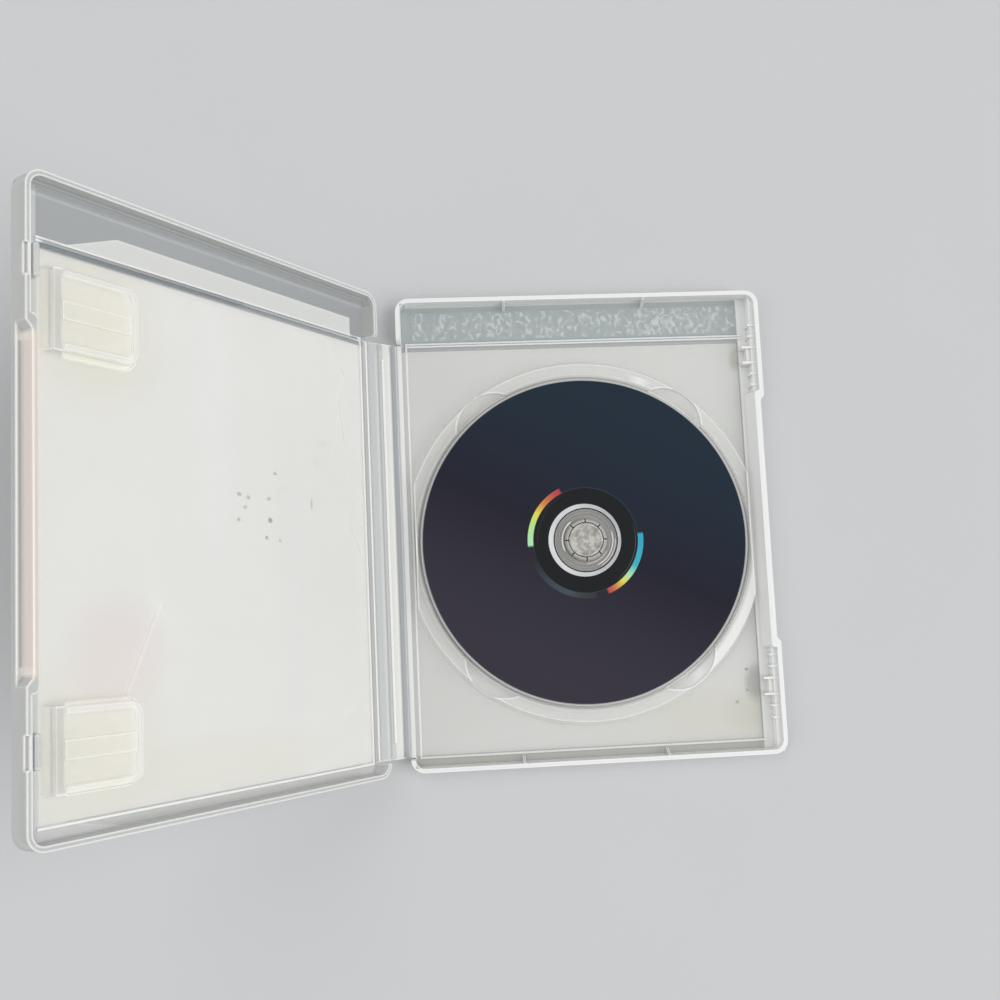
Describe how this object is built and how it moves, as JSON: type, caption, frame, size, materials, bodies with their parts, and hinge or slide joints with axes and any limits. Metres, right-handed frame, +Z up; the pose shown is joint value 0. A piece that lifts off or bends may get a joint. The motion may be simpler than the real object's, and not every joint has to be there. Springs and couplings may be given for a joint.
{
  "type": "game disc case",
  "caption": "Clear frosted hinged case for an optical disc, open, with a press-button hub, booklet clips, a thumb notch and a plain white cover sheet.",
  "frame": {"origin": "disc axis on the back cover's outer face, which rests on the table", "axes": "+Z up along the disc axis, +X from the hinge to the back cover's opening side, +Y to the header end"},
  "size_m": [0.2269, 0.171, 0.1207],
  "materials": {
    "frosted_plastic": "translucent polypropylene, satin",
    "film": "clear film",
    "paper": "plain white back",
    "disc": "dark mirror"
  },
  "bodies": {
    "back": {"back_cover": "frosted_plastic", "disc": "disc", "film_back": "film", "insert_back": "paper"},
    "spine": {"spine": "frosted_plastic", "film_spine": "film", "insert_spine": "paper"},
    "front": {"front_cover": "frosted_plastic", "film_front": "film", "insert_front": "paper"},
    "button": {"hub_button": "frosted_plastic"}
  },
  "joints": [
    {"name": "spine_hinge", "type": "hinge", "parent": "back", "child": "spine", "pos_m": [-0.0666, 0, 0.0006], "axis": [0, 1, 0], "range_deg": [-35.2, 54.8]},
    {"name": "lid_hinge", "type": "hinge", "parent": "spine", "child": "front", "pos_m": [-0.07706, 0, 0.00798], "axis": [0, 1, 0], "range_deg": [-18.3, 71.7]},
    {"name": "hub_press", "type": "slide", "parent": "back", "child": "button", "axis": [0, 0, -1], "range_m": [0, 0.0012], "stiffness_N_per_m": 400}
  ]
}
